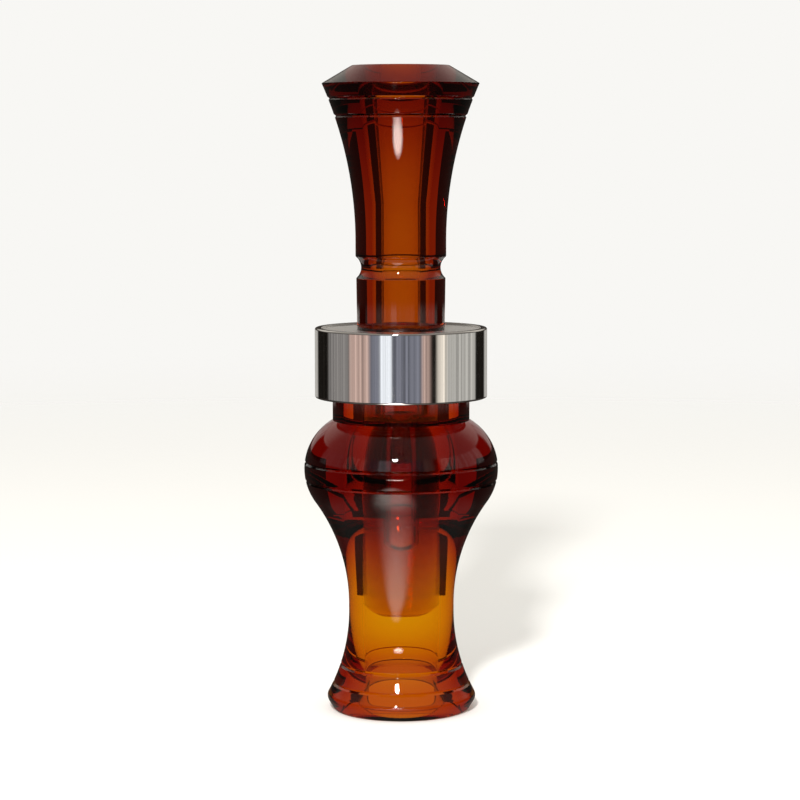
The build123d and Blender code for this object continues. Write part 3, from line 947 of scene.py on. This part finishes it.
def makeReed(name, s, cut, finish):
    # rows from the tip up, each as wide as the strip is there; closer together round the tip
    rows = []
    height = s["tip"]
    while height < cut["top"]:
        rows.append(height)
        height += cut["closeRow"] if height - s["tip"] < cut["tipRound"] else cut["row"]
    rows.append(cut["top"])
    shape = bmesh.new()
    sheets = []
    for level in (0, s["thick"]):
        sheet = []
        for z in rows:
            up = min(z - s["tip"], cut["tipRound"])
            fall = cut["tipRound"] - math.sqrt(max(cut["tipRound"] ** 2 - (cut["tipRound"] - up) ** 2, 0))
            half = cut["halfWidth"] - fall
            line = []
            for i in range(cut["columns"] + 1):
                x = half * (2 * i / cut["columns"] - 1)
                y = s["face"] + level
                if s["dimple"] and level:
                    away = math.hypot(x, z - s["dimple"]) / cut["dimpleRadius"]
                    y += cut["dimpleHeight"] * max(0, 1 - away ** 2) ** 2
                line.append(shape.verts.new(Vector((x, y, z)) * mm))
            sheet.append(line)
        sheets.append(sheet)
    low, high = sheets
    last = cut["columns"]
    for j in range(len(rows) - 1):
        for i in range(last):
            shape.faces.new((low[j][i], low[j][i + 1], low[j + 1][i + 1], low[j + 1][i]))
            shape.faces.new((high[j][i], high[j + 1][i], high[j + 1][i + 1], high[j][i + 1]))
        for i in (0, last):
            shape.faces.new((low[j][i], low[j + 1][i], high[j + 1][i], high[j][i]))
    for j in (0, len(rows) - 1):
        for i in range(last):
            shape.faces.new((low[j][i], high[j][i], high[j][i + 1], low[j][i + 1]))
    bmesh.ops.recalc_face_normals(shape, faces=shape.faces)
    mesh = bpy.data.meshes.new(name + "Film")
    shape.to_mesh(mesh)
    shape.free()
    mesh.materials.append(finish)
    mesh.shade_smooth()
    mesh.set_sharp_from_angle(angle=math.radians(cut["crease"]))
    return addObject(name + "Film", mesh)


# wedge: the cork that jams the reeds in the notch
wedgeSettings = {
    "halfWidth": 6.3, "front": 49.6, "back": 59.92, "floor": -0.33,
    "backTop": 1.22, "frontTop": 3.857, "cell": 0.28, "round": 0.22, "pitDepth": 0.16, "pitSize": 1.1,
}


def makeWedge(s, finish):
    # a sheared block in small squares, its edges worn round and its faces pitted inwards
    length, width = s["back"] - s["front"], 2 * s["halfWidth"]
    height = s["frontTop"] - s["floor"]
    counts = [math.ceil(size / s["cell"]) for size in (width, height, length)]
    shape = bmesh.new()
    corners = {}

    def cornerAt(key):
        if key not in corners:
            share = [key[axis] / counts[axis] for axis in range(3)]
            top = s["frontTop"] + (s["backTop"] - s["frontTop"]) * share[2]
            size = Vector((width, top - s["floor"], length))
            spot = Vector([share[axis] * size[axis] for axis in range(3)])
            inner = Vector([min(max(spot[axis], s["round"]), size[axis] - s["round"]) for axis in range(3)])
            if spot != inner:
                spot = inner + (spot - inner).normalized() * s["round"]
            spot += Vector((-s["halfWidth"], s["floor"], s["front"]))
            corners[key] = shape.verts.new(spot)
        return corners[key]

    for axis in range(3):
        u, v = (axis + 1) % 3, (axis + 2) % 3
        for level in (0, counts[axis]):
            for i in range(counts[u]):
                for j in range(counts[v]):
                    ring = []
                    for di, dj in ((0, 0), (1, 0), (1, 1), (0, 1)):
                        key = [0, 0, 0]
                        key[axis], key[u], key[v] = level, i + di, j + dj
                        ring.append(cornerAt(tuple(key)))
                    shape.faces.new(ring)
    bmesh.ops.recalc_face_normals(shape, faces=shape.faces)
    shape.normal_update()
    for vertex in shape.verts:
        pit = noise.noise(vertex.co / s["pitSize"] * 2) + 0.5 * noise.noise(vertex.co / s["pitSize"] * 5)
        vertex.co -= vertex.normal * s["pitDepth"] * min(max(pit - 0.12, 0) * 4, 1)
        vertex.co *= mm
    mesh = bpy.data.meshes.new("wedgeCork")
    shape.to_mesh(mesh)
    shape.free()
    mesh.materials.append(finish)
    mesh.shade_smooth()
    return addObject("wedgeCork", mesh)


print("shapes and settings read")

barrelAcrylic = makeAcrylic("barrel", acrylicSettings)
insertAcrylic = makeAcrylic("insert", acrylicSettings, (insertSettings["shoulder"] - 0.1) * mm)
aluminium = makeAluminium(aluminiumSettings)
film = makeFilm(filmSettings)
cork = makeCork(corkSettings)
rubber = makeRubber(rubberSettings)

barrel = turnBody("barrelTurned", barrelProfile(barrelSettings), barrelSettings["stepsAround"], barrelAcrylic)
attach(barrel, "barrel")
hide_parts("barrel")
print("barrel turned:", len(barrel.data.polygons), "faces")

band = turnBody("bandTurned", bandProfile(bandSettings), bandSettings["stepsAround"], aluminium)
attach(band, "barrel")
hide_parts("band")
print("band turned:", len(band.data.polygons), "faces")

insert = makeInsert(insertSettings, insertAcrylic)
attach(insert, "insert")
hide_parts("insert")
print("insert turned and milled:", len(insert.data.polygons), "faces")

for node, s in reedSettings.items():
    reed = makeReed(node, s, reedCut, film)
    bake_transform(reed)
    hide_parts(node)
print("reeds cut")

wedge = makeWedge(wedgeSettings, cork)
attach(wedge, "wedge")
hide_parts("wedge")
print("wedge cut")

for node in ("o_ring_upper", "o_ring_lower"):
    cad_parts[node].data.materials[0] = rubber
print("O-rings given their rubber")
